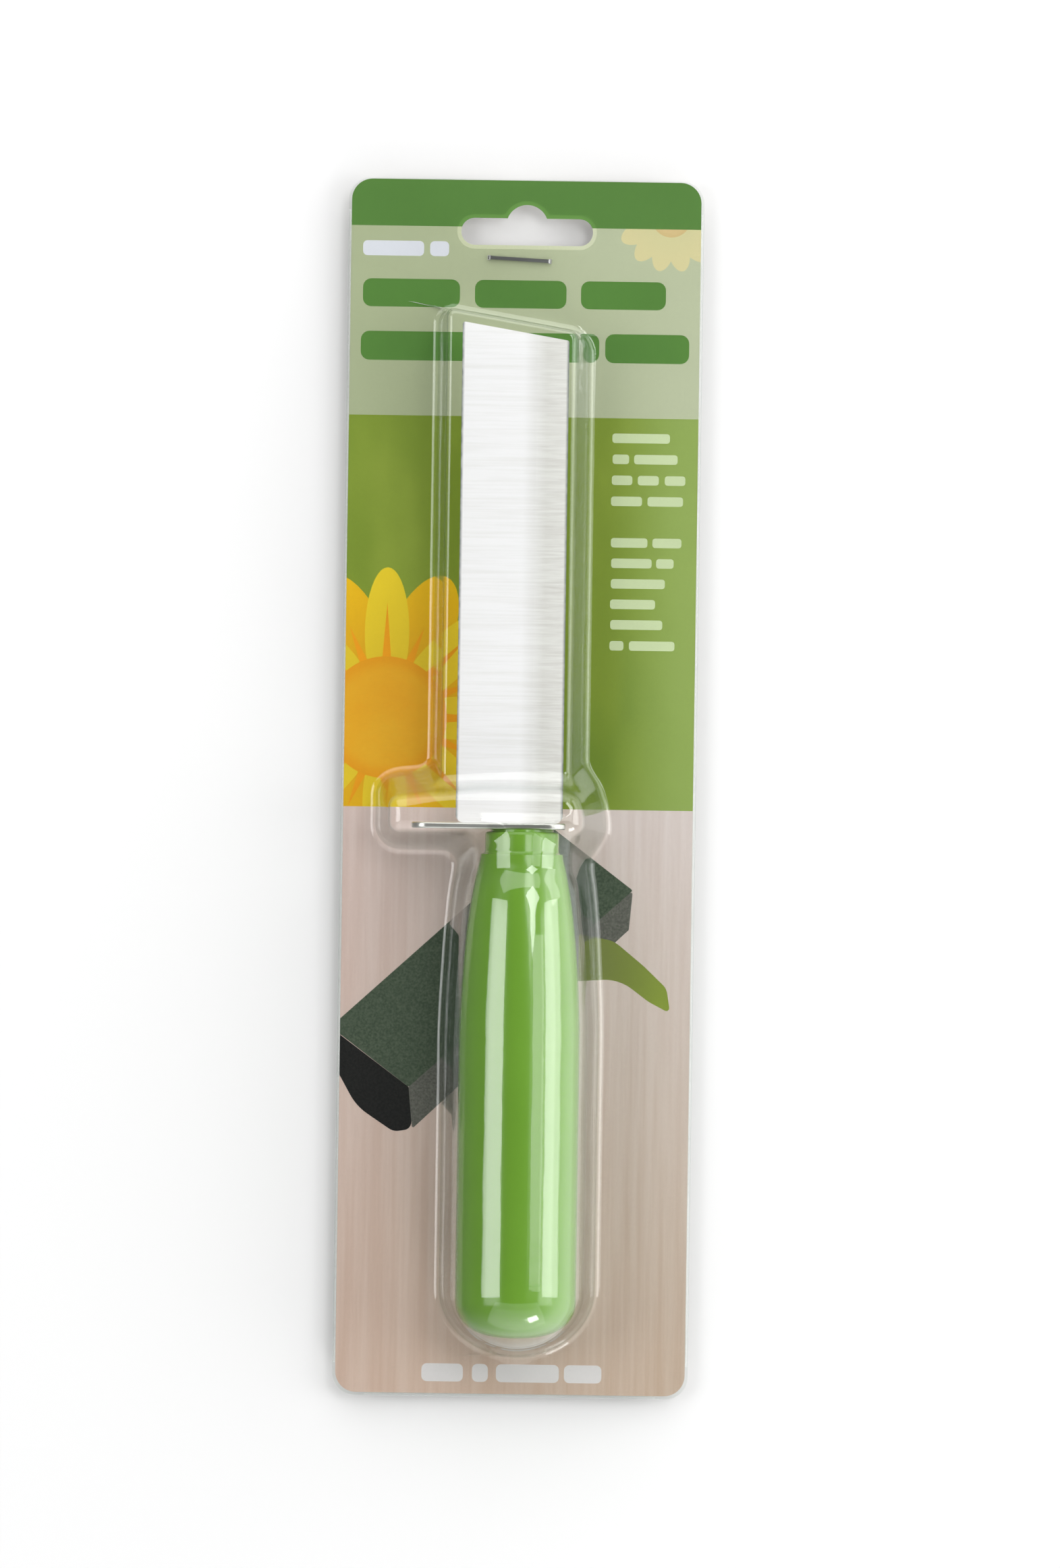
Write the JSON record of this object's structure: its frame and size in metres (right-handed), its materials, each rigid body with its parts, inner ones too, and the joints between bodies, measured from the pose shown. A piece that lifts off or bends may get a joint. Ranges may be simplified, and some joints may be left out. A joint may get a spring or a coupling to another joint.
{
  "type": "carded floral foam knife",
  "caption": "Floral foam knife with a slanted blade, cross guard and turned handle, in a clear folded-edge blister on a hang card.",
  "frame": {"origin": "middle of the pack, on the plane of its rear plastic strips", "axes": "+X across the card, to the right seen from its printed face; +Y along the knife from handle to tip, towards the hang slot; +Z out of the printed face"},
  "size_m": [0.071, 0.2434, 0.0269],
  "materials": {
    "clear_sheet": "clear thermoformed sheet, glossy",
    "printed_board": "printed and varnished face, plain pale back",
    "staple_wire": "bright flat wire",
    "blade_steel": "ground across its width",
    "guard_steel": "smooth stamped plate",
    "green_gloss": "smooth glossy green"
  },
  "bodies": {
    "pack": {"blister_shell": "clear_sheet"},
    "card": {"backing_card": "printed_board"},
    "staple": {"staple": "staple_wire"},
    "knife": {"blade": "blade_steel", "guard": "guard_steel", "handle": "green_gloss"}
  },
  "joints": [
    {"name": "card_slide", "type": "slide", "parent": "pack", "child": "card", "axis": [0, 1, 0], "range_m": [0, 0.243]},
    {"name": "staple_pull", "type": "slide", "parent": "pack", "child": "staple", "axis": [0, 0, 1], "range_m": [0, 0.012], "deforming": ["staple"]},
    {"name": "knife_play", "type": "slide", "parent": "pack", "child": "knife", "axis": [0, 1, 0], "range_m": [-0.0003, 0.0015]}
  ]
}
